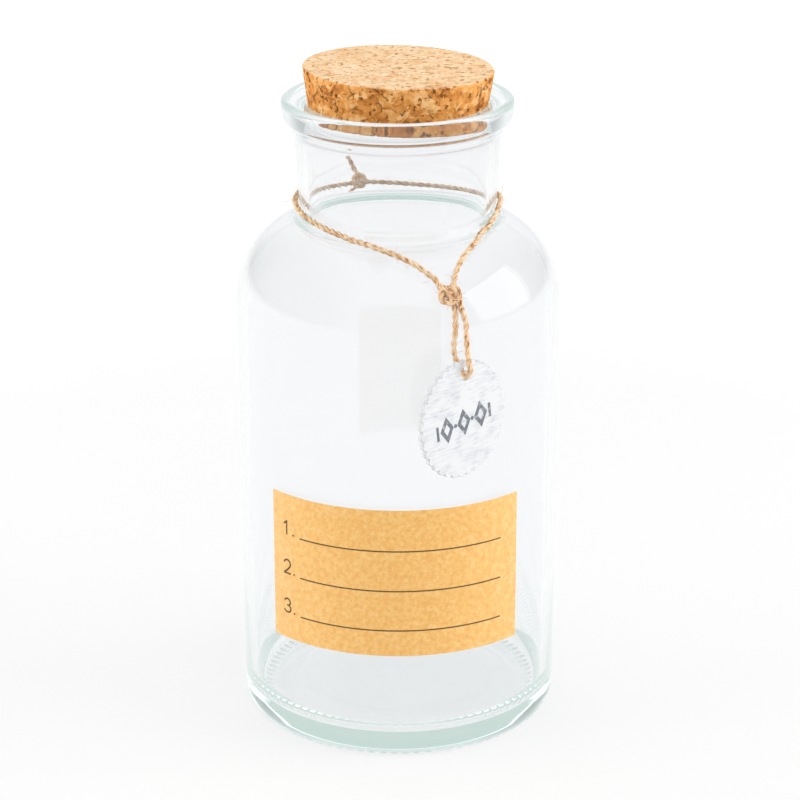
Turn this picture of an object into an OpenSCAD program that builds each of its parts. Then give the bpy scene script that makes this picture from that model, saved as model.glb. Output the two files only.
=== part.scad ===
// Glass storage jar with a tapered cork, a paper label and a scalloped tag on jute twine.
// The jar stands on z = 0 with its axis on Z. The front of the jar faces -Y.

/* [Jar body] */
// Outside diameter of the body
body_d = 100; // [90:1:110]
// Height of the glass from the table to the crest of the lip
jar_h = 199; // [180:1:230]
// Thickness of the blown wall
wall_t = 3; // [2.5:0.1:3.6]
// Outside radius of the rounded shoulder
shoulder_r = 26.7; // [22:0.1:29]

/* [Base] */
// Thickness of the base where it meets the wall
base_t = 6; // [4:0.5:9]
// How far the underside and the floor are pushed up at the middle
push_up = 3.5; // [1:0.5:5]
// Height of the rounded heel
heel_h = 7.2; // [4:0.1:10]
// How far the heel comes in from the wall
heel_in = 3.4; // [2:0.1:5]
// Width of the flat ring that the jar stands on
ring_w = 5.6; // [3:0.1:8]
// Radius of the corner between the wall and the floor, inside
floor_r = 8; // [4:0.5:12]

/* [Neck and lip] */
// Outside diameter of the neck at its root
neck_d = 60.4; // [58:0.1:63]
// Length of the neck, from its root to the crest of the lip
neck_l = 34.6; // [30:0.1:42]
// How much wider the neck is below the bead than at its root
neck_flare = 2.8; // [0:0.1:3.6]
// Radius of the hollow where the shoulder turns up into the neck
root_r = 4; // [3.5:0.1:6]
// Radius of the same turn inside the jar
inner_root_r = 3; // [1:0.1:4]
// Outside diameter of the bead round the lip
bead_d = 70.8; // [69:0.1:74]
// Height of the bead, from its lower edge to the crest
bead_h = 7.4; // [6:0.1:9]
// Radius of the bead's rounded side
bead_r = 5; // [4.4:0.1:8]
// Radius of the cove under the bead
cove_r = 3; // [2.6:0.1:4]
// Height of the fire-polished crown of the lip
crown_h = 1.8; // [1:0.1:2.2]
// Diameter of the mouth, where the cork seats
mouth_d = 55.8; // [54:0.1:57.4]

/* [Cork] */
// Length of the cork
cork_l = 15.4; // [13:0.1:24]
// How far the top of the cork stands above the crest of the lip
cork_proud = 8.9; // [5:0.1:12]
// Half angle of the cork's taper
cork_taper = 7.8; // [4:0.1:9]
// Radius of the worn edges of the cork
cork_edge = 0.8; // [0.3:0.1:2]
// Space between the cork and the mouth
cork_gap = 0.3; // [0.2:0.05:0.6]
// How far the cork sits askew, in degrees
cork_tilt = 1.8; // [0:0.1:2]

/* [Label] */
// Width of the label along the glass
label_w = 83.7; // [50:0.1:100]
// Height of the label
label_h = 48.2; // [30:0.1:60]
// Height of the label's lower edge above the table
label_z = 35.3; // [20:0.1:50]
// Thickness of the paper
label_t = 0.25; // [0.15:0.05:0.5]
// Thickness of the glue under the paper
glue_t = 0.05; // [0.02:0.01:0.2]

/* [Twine] */
// Diameter of the twine
twine_d = 1.8; // [1.2:0.1:2]
// Space between the twine and the glass
twine_gap = 0.3; // [0.1:0.05:0.6]
// Length of the front knot
knot_l = 7.2; // [6:0.1:9]
// Direction of the front knot from the front of the jar, in degrees
knot_at = 20; // [0:1:40]
// Distance of the front knot below the root of the neck
knot_drop = 14.5; // [12:0.1:18]
// Length of the back knot
back_knot_l = 4.8; // [4:0.1:7]
// Direction of the back knot from the front of the jar, in degrees
back_knot_at = -155; // [-170:1:-140]
// Height of the back knot above the root of the neck
back_knot_up = 1.5; // [0:0.1:4]
// Length of the longer of the two cut ends at the back knot
tail_l = 8; // [4:0.5:14]
// How far both cut ends lean to one side, in degrees
tail_lean = 20; // [0:1:40]

/* [Tag] */
// Diameter of the tag over its scallops
tag_d = 35.8; // [30:0.1:38]
// Thickness of the tag
tag_t = 1.6; // [1:0.1:1.8]
// Number of scallops round the edge
scallops = 36; // [24:1:48]
// Depth of the scallops
scallop_h = 1; // [0.5:0.1:1.2]
// Diameter of the hole for the twine
hole_d = 4.4; // [4.2:0.1:5]
// Width of the rim between the hole and the tips of the scallops
hole_rim = 1.8; // [1.4:0.1:4]
// Direction of the hole round the tag, in degrees from straight up
hole_turn = 7; // [0:0.5:20]
// Direction of the tag's centre from the front of the jar, in degrees
tag_at = 21.3; // [10:0.1:30]
// Direction that the tag's face looks in, in degrees from the front of the jar
tag_face = 47; // [40:1:50]
// How far the tag's face tips up, in degrees
tag_lean = 2.9; // [0:0.1:4]
// Height of the tag's centre below the root of the neck
tag_drop = 50.1; // [46:0.1:60]
// Space between the edge of the tag and the glass
tag_gap = 0.6; // [0.4:0.1:2]

/* [Hidden] */
$fn = 96;
lobe_fn = 24;
arc_steps = 8;

// Radius of each knot in diameters of the twine, its visible turns, and the angles that the
// cut ends of the back knot stand out from the glass.
knot_turns_r = 1.45;
back_turns_r = 1.5;
knot_turns = 4;
back_turns = 3;
upper_tail_out = 12;
lower_tail_out = 30;

body_r = body_d / 2;
neck_r = neck_d / 2;
neck_top_r = neck_r + neck_flare / 2;
mouth_r = mouth_d / 2;
root_z = jar_h - neck_l;
shoulder_c = body_r - shoulder_r;
fillet_c = neck_r + root_r;
shoulder_z = root_z - leg(shoulder_r + root_r, fillet_c - shoulder_c);
root_angle = atan2(root_z - shoulder_z, fillet_c - shoulder_c);

bead_z = jar_h - bead_h;
bead_c = bead_d / 2 - bead_r;
crown_z = jar_h - crown_h;
bead_mid_z = (bead_z + crown_z) / 2;
bead_half = (crown_z - bead_z) / 2;
bead_angle = asin(bead_half / bead_r);
bead_edge_r = bead_c + bead_r * cos(bead_angle);
crown_half = (bead_edge_r - mouth_r) / 2;
crown_mid_r = (bead_edge_r + mouth_r) / 2;
crown_r = (crown_half * crown_half + crown_h * crown_h) / (2 * crown_h);
crown_angle = asin(crown_half / crown_r);

inner_r = body_r - wall_t;
inner_neck_r = neck_r - wall_t;
inner_fillet_c = inner_neck_r + inner_root_r;
inner_shoulder_r = shoulder_r - wall_t;
inner_root_z = shoulder_z + leg(inner_shoulder_r + inner_root_r, inner_fillet_c - shoulder_c);
inner_root_angle = atan2(inner_root_z - shoulder_z, inner_fillet_c - shoulder_c);

ring_r = body_r - heel_in;
ring_inner_r = ring_r - ring_w;
floor_edge_r = inner_r - floor_r;

cork_seat_r = mouth_r - cork_gap;
cork_top_z = jar_h + cork_proud;
cork_bottom_z = cork_top_z - cork_l;

label_r = body_r + glue_t;
label_half = label_w / 2 / label_r * 180 / PI;

twine_r = twine_d / 2;
twine_off = twine_r + twine_gap;
knot_r = knot_turns_r * twine_d;
knot_off = knot_r + twine_gap;
knot_z = root_z - knot_drop;
knot_pos = on_glass(knot_at, knot_z, knot_off);
back_knot_r = back_turns_r * twine_d;
back_knot_z = root_z + back_knot_up;
back_knot_pos = on_glass(back_knot_at, back_knot_z, back_knot_r + twine_gap);

tag_r = tag_d / 2;
hole_r = hole_d / 2;
hole_at = tag_r - hole_rim - hole_r;
lobe_r = PI * tag_r / scallops;
tag_u = [cos(tag_face), sin(tag_face), 0];
tag_n = [sin(tag_face), -cos(tag_face), 0];
tag_out = outward(tag_at);
tag_edge = tag_r * tag_u - tag_t / 2 * tag_n;
tag_reach = tag_edge * tag_out;
tag_free = body_r + tag_gap;
tag_dist = sqrt(tag_reach ^ 2 - tag_edge * tag_edge + tag_free ^ 2) - tag_reach;
tag_pos = tag_dist * tag_out + [0, 0, root_z - tag_drop];
tag_up = [-sin(tag_lean) * tag_n.x, -sin(tag_lean) * tag_n.y, cos(tag_lean)];
hole_pos = tag_pos + hole_at * (sin(hole_turn) * tag_u + cos(hole_turn) * tag_up);

// The twine round the neck: direction from the front, and height above the root of the neck.
neck_route = [
    [18.3, -14], [16.5, -10.6], [13.5, -8.8], [9.5, -6.8], [5, -5.5], [-1, -4.3], [-8, -3.4],
    [-16, -2.7], [-24, -2.2], [-32, -1.5], [-40, -0.9], [-50, -0.2], [-62, 0.7], [-76, 1.5],
    [-92, 1.9], [-108, 1.8], [-124, 1.5], [-140, 1.3], [-155, 1.5], [-170, 0.9], [-185, 0.3],
    [-200, 0], [-215, 0], [-230, 0.3], [-245, 0.9], [-258, 1.6], [-270, 2], [-281, 1],
    [-290, -0.6], [-300, -1.9], [-310, -2.7], [-320, -4.1], [-328, -5.8], [-333, -8],
    [-336, -10.4], [-338.2, -14]
];

// The loop that carries the tag: share of the way from the hole up to the knot,
// then the distance to the right of that line, and the distance out from the jar.
loop_route = [
    [0.855, 1, -0.2], [0.7, 0.3, 0.1], [0.53, -0.5, 0], [0.34, -1.5, -0.9], [0.17, -1.8, -2.1],
    [0.09, -1.6, -2.4], [0, -1, -2], [-0.035, 0, 0], [0, 0.9, 1.8], [0.09, 1.2, 3.2],
    [0.17, 0.9, 3.6], [0.34, 1.4, 2.9], [0.53, 2.3, 1.9], [0.7, 3, 1], [0.855, 3, 0.3]
];

// The other short side of a right-angled triangle.
function leg(hypotenuse, side) = sqrt(hypotenuse ^ 2 - side ^ 2);

// Horizontal direction out from the axis, at an angle from the front.
function outward(angle) = [sin(angle), -cos(angle), 0];

// Horizontal direction to the right, at an angle from the front.
function rightward(angle) = [cos(angle), sin(angle), 0];

// Points of an arc in a profile.
function arc(c, r, from, to) =
    [for (i = [0:arc_steps]) let (a = from + (to - from) * i / arc_steps) c + r * [cos(a), sin(a)]];

// Radius of a line that lies off the outside of the glass, at a height.
function glass_r(z, off) =
    let (arc_top = shoulder_z + (shoulder_r + off) * sin(root_angle))
    z <= shoulder_z ? body_r + off
    : z <= arc_top ? shoulder_c + leg(shoulder_r + off, z - shoulder_z)
    : z <= root_z ? fillet_c - leg(root_r - off, root_z - z)
    : neck_r + off + neck_flare / 2 * (z - root_z) / (bead_z - cove_r - root_z);

// Point that lies off the outside of the glass.
function on_glass(angle, z, off) = glass_r(z, off) * outward(angle) + [0, 0, z];

// Smooth curve through a list of points, as a point half way and at the end of each span.
function span_point(p, i, t) =
    let (
        last = len(p) - 1,
        a = p[max(i - 1, 0)],
        b = p[i],
        c = p[min(i + 1, last)],
        d = p[min(i + 2, last)]
    )
    b + t / 2 * (c - a) + t ^ 2 / 2 * (2 * a - 5 * b + 4 * c - d)
        + t ^ 3 / 2 * (3 * b - a - 3 * c + d);
function smooth(p, steps) =
    [for (i = [0:len(p) - 2]) for (s = [0:steps - 1]) span_point(p, i, s / steps), p[len(p) - 1]];

function unit(v) = v / norm(v);
function heading(p, i) = unit(p[min(i + 1, len(p) - 1)] - p[max(i - 1, 0)]);
function turned_side(side, ahead) = unit(side - (side * ahead) * ahead);
function sides(p, i, side) =
    let (next = turned_side(side, heading(p, i)))
    i == len(p) - 1 ? [next] : concat([next], sides(p, i + 1, next));

// Round tube along a list of points, with flat ends.
module tube(p, d, start_side = [0, 0, 1]) {
    n = 8;
    last = len(p) - 1;
    side = sides(p, 0, start_side);
    ring_points = [
        for (i = [0:last]) let (s = side[i], q = cross(heading(p, i), s))
            for (j = [0:n - 1]) p[i] + d / 2 * (cos(360 * j / n) * s + sin(360 * j / n) * q)
    ];
    walls = [
        for (i = [0:last - 1]) for (j = [0:n - 1]) let (k = (j + 1) % n)
            [i * n + j, (i + 1) * n + j, (i + 1) * n + k, i * n + k]
    ];
    ends = [[for (j = [0:n - 1]) j], [for (j = [n - 1:-1:0]) last * n + j]];
    polyhedron(ring_points, concat(walls, ends));
}

// Half profile of the whole piece of glass, from the ring it stands on, up the outside,
// over the lip, and down the inside to the pushed-up floor.
function glass_profile() = concat(
    [[ring_inner_r, 0]],
    [for (i = [0:arc_steps]) let (a = 90 * i / arc_steps)
        [ring_r + heel_in * sin(a), heel_h * (1 - cos(a))]],
    arc([shoulder_c, shoulder_z], shoulder_r, 0, root_angle),
    arc([fillet_c, root_z], root_r, 180 + root_angle, 180),
    arc([neck_top_r + cove_r, bead_z - cove_r], cove_r, 180, 90),
    arc([bead_c, bead_mid_z], bead_r, -bead_angle, bead_angle),
    arc([crown_mid_r, jar_h - crown_r], crown_r, 90 - crown_angle, 90 + crown_angle),
    arc([inner_fillet_c, inner_root_z], inner_root_r, 180, 180 + inner_root_angle),
    arc([shoulder_c, shoulder_z], inner_shoulder_r, inner_root_angle, 0),
    arc([floor_edge_r, base_t + floor_r], floor_r, 0, -90),
    [for (i = [1:arc_steps]) let (s = 1 - i / arc_steps)
        [floor_edge_r * s, base_t + push_up * (1 - s * s)]],
    [for (i = [0:arc_steps - 1]) let (s = i / arc_steps)
        [ring_inner_r * s, push_up * (1 - s * s)]]
);

module glass_jar() {
    color([0.86, 0.92, 0.91, 0.4])
        rotate_extrude() polygon(glass_profile());
}

function cork_r(z) = cork_seat_r + tan(cork_taper) * (z - crown_z);

// Tapered plug with worn edges. It leans about the middle of its seat.
module cork_stopper() {
    top_r = cork_r(cork_top_z);
    bottom_r = cork_r(cork_bottom_z);
    profile = concat(
        [[0, cork_bottom_z]],
        arc([bottom_r - cork_edge, cork_bottom_z + cork_edge], cork_edge, -90, -cork_taper),
        arc([top_r - cork_edge, cork_top_z - cork_edge], cork_edge, -cork_taper, 90),
        [[0, cork_top_z]]
    );
    color([0.85, 0.63, 0.4])
        translate([0, 0, crown_z])
            rotate([0, cork_tilt, 0])
                translate([0, 0, -crown_z])
                    rotate_extrude() polygon(profile);
}

// Sheet of paper rolled onto the front of the jar.
module paper_label() {
    reach = 2 * body_d;
    wedge = [
        [0, 0],
        -reach * [sin(label_half), cos(label_half)],
        [0, -2 * reach],
        reach * [sin(label_half), -cos(label_half)]
    ];
    color([0.93, 0.76, 0.53])
        translate([0, 0, label_z])
            intersection() {
                difference() {
                    cylinder(r = label_r + label_t, h = label_h);
                    translate([0, 0, -label_h]) cylinder(r = label_r, h = 3 * label_h);
                }
                linear_extrude(label_h) polygon(wedge);
            }
}

// The twine that is tied round the neck, from the front knot back to the front knot.
module neck_twine() {
    line = [for (p = smooth(neck_route, 2)) on_glass(p[0], root_z + p[1], twine_off)];
    color([0.86, 0.68, 0.45]) tube(line, twine_d);
}

// Turns of twine pulled tight into a barrel that lies across the given direction.
module wound_knot(length, r, turns) {
    pitch = length / turns;
    ridge_r = pitch / 2;
    rotate([0, 90, 0]) {
        cylinder(r = r - ridge_r / 2, h = length - pitch, center = true);
        for (i = [0:turns - 1])
            translate([0, 0, (i + 0.5) * pitch - length / 2])
                rotate_extrude() intersection() {
                    translate([r - ridge_r, 0]) circle(r = ridge_r, $fn = lobe_fn);
                    translate([0, -ridge_r]) square([r, 2 * ridge_r]);
                }
    }
}

module front_knot() {
    color([0.84, 0.64, 0.4])
        translate(knot_pos) rotate([0, 0, knot_at]) wound_knot(knot_l, knot_r, knot_turns);
}

// The knot behind the neck, with its two cut ends.
module back_knot() {
    color([0.84, 0.64, 0.4])
        translate(back_knot_pos) rotate([0, 0, back_knot_at]) {
            wound_knot(back_knot_l, back_knot_r, back_turns);
            rotate([upper_tail_out, tail_lean, 0])
                cylinder(d = twine_d, h = back_knot_r + tail_l, $fn = lobe_fn);
            rotate([180 - lower_tail_out, -tail_lean, 0])
                cylinder(d = twine_d, h = back_knot_r + tail_l / 2, $fn = lobe_fn);
        }
}

// The hanging loop: down from the front knot, through the tag from behind, and up again.
module tag_loop() {
    right = rightward(knot_at);
    out = outward(knot_at);
    line = [
        for (p = smooth(loop_route, 2))
            hole_pos + p[0] * (knot_pos - hole_pos) + p[1] * right + p[2] * out
    ];
    color([0.86, 0.68, 0.45]) tube(line, twine_d, right);
}

// Thin round tag with a scalloped edge and a drilled hole.
module tag() {
    color([0.95, 0.95, 0.94])
        translate(tag_pos) rotate([0, 0, tag_face]) rotate([90 - tag_lean, 0, 0])
            difference() {
                translate([0, 0, -tag_t / 2]) linear_extrude(tag_t) union() {
                    circle(r = tag_r - scallop_h);
                    for (i = [0:scallops - 1])
                        rotate(360 * (i + 0.5) / scallops)
                            translate([tag_r - lobe_r, 0]) circle(r = lobe_r, $fn = lobe_fn);
                }
                rotate(-hole_turn) translate([0, hole_at, -tag_t])
                    cylinder(d = hole_d, h = 2 * tag_t);
            }
}

glass_jar();
cork_stopper();
paper_label();
neck_twine();
back_knot();
front_knot();
tag_loop();
tag();
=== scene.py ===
import math

import bmesh
import bpy
from mathutils import Matrix, Vector


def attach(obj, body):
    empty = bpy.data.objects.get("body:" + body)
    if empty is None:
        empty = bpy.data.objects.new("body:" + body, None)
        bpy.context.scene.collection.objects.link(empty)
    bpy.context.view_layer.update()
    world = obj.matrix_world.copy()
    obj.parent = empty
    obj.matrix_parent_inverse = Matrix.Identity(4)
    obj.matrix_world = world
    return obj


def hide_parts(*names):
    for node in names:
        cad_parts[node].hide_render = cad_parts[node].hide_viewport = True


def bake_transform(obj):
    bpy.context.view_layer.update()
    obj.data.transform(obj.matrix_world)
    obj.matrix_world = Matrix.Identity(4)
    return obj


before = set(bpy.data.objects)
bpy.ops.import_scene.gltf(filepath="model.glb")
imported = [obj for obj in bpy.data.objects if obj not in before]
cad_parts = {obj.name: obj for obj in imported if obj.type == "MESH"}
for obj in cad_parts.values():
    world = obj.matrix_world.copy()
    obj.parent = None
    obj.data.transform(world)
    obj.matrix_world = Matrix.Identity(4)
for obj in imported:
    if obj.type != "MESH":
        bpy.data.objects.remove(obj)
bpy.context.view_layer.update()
scene = bpy.context.scene

# The camera stands almost in front of the jar and looks down on it. Its place was worked
# out from the jar's outline, so that the render has the photograph's frame.
MM = 0.001
camera_turn = math.radians(1.95)
camera_away = 802.1 * MM
camera_height = 397.9 * MM
camera_pitch = math.radians(20.35)
camera_yaw = math.radians(0.035)
camera_roll = math.radians(-0.13)

camera_data = bpy.data.cameras.new("camera")
camera_data.lens = 122.0
camera_data.sensor_width = 36.0
camera_data.clip_start = 0.01
camera = bpy.data.objects.new("camera", camera_data)
scene.collection.objects.link(camera)
ahead = Vector((-math.sin(camera_turn), math.cos(camera_turn), 0)) * math.cos(camera_pitch)
ahead.z = -math.sin(camera_pitch)
level_right = Vector((math.cos(camera_turn), math.sin(camera_turn), 0))
ahead = (ahead * math.cos(camera_yaw) + level_right * math.sin(camera_yaw)).normalized()
view_right = ahead.cross(Vector((0, 0, 1))).normalized()
view_up = view_right.cross(ahead)
rolled_right = view_right * math.cos(camera_roll) + view_up * math.sin(camera_roll)
rolled_up = view_up * math.cos(camera_roll) - view_right * math.sin(camera_roll)
turned = Matrix((rolled_right, rolled_up, -ahead)).transposed()
stand = Vector(
    (camera_away * math.sin(camera_turn), -camera_away * math.cos(camera_turn), camera_height)
)
camera.matrix_world = Matrix.Translation(stand) @ turned.to_4x4()
scene.camera = camera

# Outside of the glass, as in the CAD source: body, rounded shoulder, and the hollow where it
# turns up into a neck that widens a little. The twine and the label lie against it.
body_r = 50.0
shoulder_r = 26.7
root_r = 4.0
neck_r = 30.2
root_z = 164.4
neck_flare = 2.8
bead_z = 191.6
cove_r = 3.0
shoulder_c = body_r - shoulder_r
fillet_c = neck_r + root_r
shoulder_z = root_z - math.sqrt((shoulder_r + root_r) ** 2 - (fillet_c - shoulder_c) ** 2)
root_angle = math.atan2(root_z - shoulder_z, fillet_c - shoulder_c)


def glass_radius(z, off):
    if z <= shoulder_z:
        return body_r + off
    if z <= shoulder_z + (shoulder_r + off) * math.sin(root_angle):
        return shoulder_c + math.sqrt((shoulder_r + off) ** 2 - (z - shoulder_z) ** 2)
    if z <= root_z:
        return fillet_c - math.sqrt((root_r - off) ** 2 - (root_z - z) ** 2)
    return neck_r + off + neck_flare / 2 * (z - root_z) / (bead_z - cove_r - root_z)


def outward(degrees):
    a = math.radians(degrees)
    return Vector((math.sin(a), -math.cos(a), 0))


def rightward(degrees):
    a = math.radians(degrees)
    return Vector((math.cos(a), math.sin(a), 0))


def on_glass(degrees, z, off):
    return glass_radius(z, off) * outward(degrees) + Vector((0, 0, z))


def smooth_line(points, steps):
    """A smooth line through the points, with so many steps a span."""
    points = [Vector(p) for p in points]
    last = len(points) - 1
    line = []
    for i in range(last):
        a = points[max(i - 1, 0)]
        b = points[i]
        c = points[i + 1]
        d = points[min(i + 2, last)]
        for step in range(steps):
            t = step / steps
            line.append(
                b
                + t / 2 * (c - a)
                + t**2 / 2 * (2 * a - 5 * b + 4 * c - d)
                + t**3 / 2 * (3 * b - a - 3 * c + d)
            )
    return line + [points[last]]


def add_node(tree, kind, inputs=None, **settings):
    """A new node. Each input is a value, or the output of another node."""
    made = tree.nodes.new(kind)
    for name, value in settings.items():
        setattr(made, name, value)
    for socket, value in (inputs or {}).items():
        if isinstance(value, bpy.types.NodeSocket):
            tree.links.new(value, made.inputs[socket])
        else:
            made.inputs[socket].default_value = value
    return made


def math_node(tree, operation, a, b=0.0):
    return add_node(tree, "ShaderNodeMath", {0: a, 1: b}, operation=operation).outputs[0]


def new_material(name):
    made = bpy.data.materials.new(name)
    made.use_nodes = True
    made.node_tree.nodes.clear()
    return made, made.node_tree


def finish_material(tree, shader):
    out = add_node(tree, "ShaderNodeOutputMaterial")
    tree.links.new(shader.outputs[0], out.inputs["Surface"])


def ramp_node(tree, fac, stops):
    """A colour ramp through (place, colour) stops."""
    made = add_node(tree, "ShaderNodeValToRGB", {"Fac": fac})
    ramp = made.color_ramp
    while len(ramp.elements) < len(stops):
        ramp.elements.new(0.5)
    for element, (place, colour) in zip(ramp.elements, stops):
        element.position = place
        element.color = (*colour, 1)
    return made.outputs["Color"]


def srgb(r, g, b):
    """A colour as the eye names it, from 0 to 255, made into light."""
    return tuple(
        v / 12.92 if v <= 0.04045 else ((v + 0.055) / 1.055) ** 2.4
        for v in (r / 255, g / 255, b / 255)
    )


def new_tree(name, inputs):
    """An empty tree of Geometry Nodes, with the identifiers of its inputs."""
    tree = bpy.data.node_groups.new(name, "GeometryNodeTree")
    ids = {}
    for label, kind in inputs:
        socket = tree.interface.new_socket(name=label, in_out="INPUT", socket_type=kind)
        ids[label] = socket.identifier
    tree.interface.new_socket(name="Result", in_out="OUTPUT", socket_type="NodeSocketGeometry")
    return tree, ids, add_node(tree, "NodeGroupInput").outputs


def end_tree(tree, geometry, finish):
    real = add_node(tree, "GeometryNodeRealizeInstances", {0: geometry})
    painted = add_node(
        tree, "GeometryNodeSetMaterial", {"Geometry": real.outputs[0], "Material": finish}
    )
    add_node(tree, "NodeGroupOutput", {0: painted.outputs[0]})


def grow(name, mesh, tree, ids, values):
    """The plain mesh that a tree makes of a mesh."""
    holder = bpy.data.objects.new(name + "_start", mesh)
    scene.collection.objects.link(holder)
    modifier = holder.modifiers.new("grow", "NODES")
    modifier.node_group = tree
    for label, value in values.items():
        modifier[ids[label]] = value
    depsgraph = bpy.context.evaluated_depsgraph_get()
    result = bpy.data.meshes.new_from_object(holder.evaluated_get(depsgraph))
    result.name = name
    bpy.data.objects.remove(holder)
    made = bpy.data.objects.new(name, result)
    scene.collection.objects.link(made)
    return made


def mesh_object(name, points, faces, finish=None, smooth=True):
    mesh = bpy.data.meshes.new(name)
    mesh.from_pydata([tuple(p) for p in points], [], faces)
    mesh.validate()
    if finish:
        mesh.materials.append(finish)
    if smooth:
        mesh.shade_smooth()
    made = bpy.data.objects.new(name, mesh)
    scene.collection.objects.link(made)
    return made


def path_mesh(name, line):
    mesh = bpy.data.meshes.new(name)
    mesh.from_pydata([tuple(p * MM) for p in line], [(i, i + 1) for i in range(len(line) - 1)], [])
    return mesh


# Jute twine, 1.8 mm thick: two plies of pale hairy fibre, spun hard and laid round each
# other. One length of it is tied round the neck, and carries the tag.
twine_d = 1.8
twine_off = twine_d / 2 + 0.3
ply_r = 0.52
ply_off = 0.4
lay_l = 5.4
fuzz = 0.16
jute_pale = srgb(250, 224, 192)
jute_mid = srgb(233, 185, 130)
jute_dark = srgb(150, 84, 34)

jute, tree = new_material("jute")
strands = add_node(tree, "ShaderNodeAttribute", attribute_name="fibre")
streaks = add_node(
    tree,
    "ShaderNodeTexNoise",
    {"Vector": strands.outputs["Vector"], "Scale": 1.0, "Detail": 3.0, "Roughness": 0.6},
)
place = add_node(tree, "ShaderNodeTexCoord").outputs["Object"]
patches = add_node(tree, "ShaderNodeTexNoise", {"Vector": place, "Scale": 420.0, "Detail": 2.0})
tone = math_node(
    tree,
    "ADD",
    math_node(tree, "MULTIPLY", streaks.outputs["Fac"], 0.72),
    math_node(tree, "MULTIPLY", patches.outputs["Fac"], 0.28),
)
colour = ramp_node(tree, tone, [(0.38, jute_dark), (0.45, jute_mid), (0.54, jute_pale)])
bump = add_node(
    tree,
    "ShaderNodeBump",
    {"Height": streaks.outputs["Fac"], "Strength": 0.9, "Distance": 0.00025},
)
shader = add_node(
    tree,
    "ShaderNodeBsdfPrincipled",
    {
        "Base Color": colour,
        "Roughness": 0.85,
        "Specular IOR Level": 0.25,
        "Sheen Weight": 0.25,
        "Normal": bump.outputs[0],
    },
)
finish_material(tree, shader)

lay_tree, lay_ids, given = new_tree(
    "Laid plies",
    [
        ("Path", "NodeSocketGeometry"),
        ("Ply radius", "NodeSocketFloat"),
        ("Ply offset", "NodeSocketFloat"),
        ("Length of lay", "NodeSocketFloat"),
        ("Unevenness", "NodeSocketFloat"),
        ("Finish", "NodeSocketMaterial"),
    ],
)
curve = add_node(lay_tree, "GeometryNodeMeshToCurve", {"Mesh": given["Path"]})
even = add_node(
    lay_tree,
    "GeometryNodeResampleCurve",
    {"Curve": curve.outputs[0], "Length": 0.22 * MM},
    mode="LENGTH",
)
along = add_node(lay_tree, "GeometryNodeSplineParameter").outputs["Length"]
turn = math_node(
    lay_tree,
    "MULTIPLY",
    math_node(lay_tree, "DIVIDE", along, given["Length of lay"]),
    2 * math.pi,
)
kept = add_node(
    lay_tree,
    "GeometryNodeStoreNamedAttribute",
    {"Geometry": even.outputs[0], "Name": "along", "Value": along},
    domain="POINT",
    data_type="FLOAT",
)
ring = add_node(
    lay_tree,
    "GeometryNodeCurvePrimitiveCircle",
    {"Resolution": 16, "Radius": given["Ply radius"]},
)
round_part = add_node(lay_tree, "GeometryNodeSplineParameter").outputs["Factor"]
section = add_node(
    lay_tree,
    "GeometryNodeStoreNamedAttribute",
    {"Geometry": ring.outputs[0], "Name": "around", "Value": round_part},
    domain="POINT",
    data_type="FLOAT",
)
both = add_node(lay_tree, "GeometryNodeJoinGeometry")
for ply in (0, 1):
    angle = math_node(lay_tree, "ADD", turn, ply * math.pi)
    aside = add_node(
        lay_tree,
        "ShaderNodeVectorRotate",
        {
            "Vector": add_node(lay_tree, "GeometryNodeInputNormal").outputs[0],
            "Axis": add_node(lay_tree, "GeometryNodeInputTangent").outputs[0],
            "Angle": angle,
        },
        rotation_type="AXIS_ANGLE",
    )
    shift = add_node(
        lay_tree,
        "ShaderNodeVectorMath",
        {"Vector": aside.outputs[0], "Scale": given["Ply offset"]},
        operation="SCALE",
    )
    moved = add_node(
        lay_tree,
        "GeometryNodeSetPosition",
        {"Geometry": kept.outputs[0], "Offset": shift.outputs[0]},
    )
    swept = add_node(
        lay_tree,
        "GeometryNodeCurveToMesh",
        {"Curve": moved.outputs[0], "Profile Curve": section.outputs[0], "Fill Caps": True},
    )
    far = add_node(lay_tree, "GeometryNodeInputNamedAttribute", {"Name": "along"}).outputs[0]
    spin = add_node(lay_tree, "GeometryNodeInputNamedAttribute", {"Name": "around"}).outputs[0]
    full = math_node(lay_tree, "MULTIPLY", spin, 2 * math.pi)
    fibre = add_node(
        lay_tree,
        "ShaderNodeCombineXYZ",
        {
            "X": math_node(lay_tree, "MULTIPLY", math_node(lay_tree, "COSINE", full), 1.5),
            "Y": math_node(lay_tree, "MULTIPLY", math_node(lay_tree, "SINE", full), 1.5),
            "Z": math_node(
                lay_tree, "ADD", math_node(lay_tree, "MULTIPLY", far, 420.0), 50.0 * ply
            ),
        },
    )
    marked = add_node(
        lay_tree,
        "GeometryNodeStoreNamedAttribute",
        {"Geometry": swept.outputs[0], "Name": "fibre", "Value": fibre.outputs[0]},
        domain="POINT",
        data_type="FLOAT_VECTOR",
    )
    lay_tree.links.new(marked.outputs[0], both.inputs[0])
fibre_place = add_node(lay_tree, "GeometryNodeInputNamedAttribute", {"Name": "fibre"}, data_type="FLOAT_VECTOR")
swell = add_node(
    lay_tree,
    "ShaderNodeTexNoise",
    {"Vector": fibre_place.outputs[0], "Scale": 0.9, "Detail": 2.0, "Roughness": 0.6},
)
rise = math_node(
    lay_tree,
    "MULTIPLY",
    math_node(lay_tree, "SUBTRACT", swell.outputs["Fac"], 0.5),
    math_node(lay_tree, "MULTIPLY", given["Unevenness"], 2.0),
)
pushed = add_node(
    lay_tree,
    "ShaderNodeVectorMath",
    {"Vector": add_node(lay_tree, "GeometryNodeInputNormal").outputs[0], "Scale": rise},
    operation="SCALE",
)
uneven = add_node(
    lay_tree, "GeometryNodeSetPosition", {"Geometry": both.outputs[0], "Offset": pushed.outputs[0]}
)
soft = add_node(lay_tree, "GeometryNodeSetShadeSmooth", {"Geometry": uneven.outputs[0]})
end_tree(lay_tree, soft.outputs[0], given["Finish"])

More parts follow.
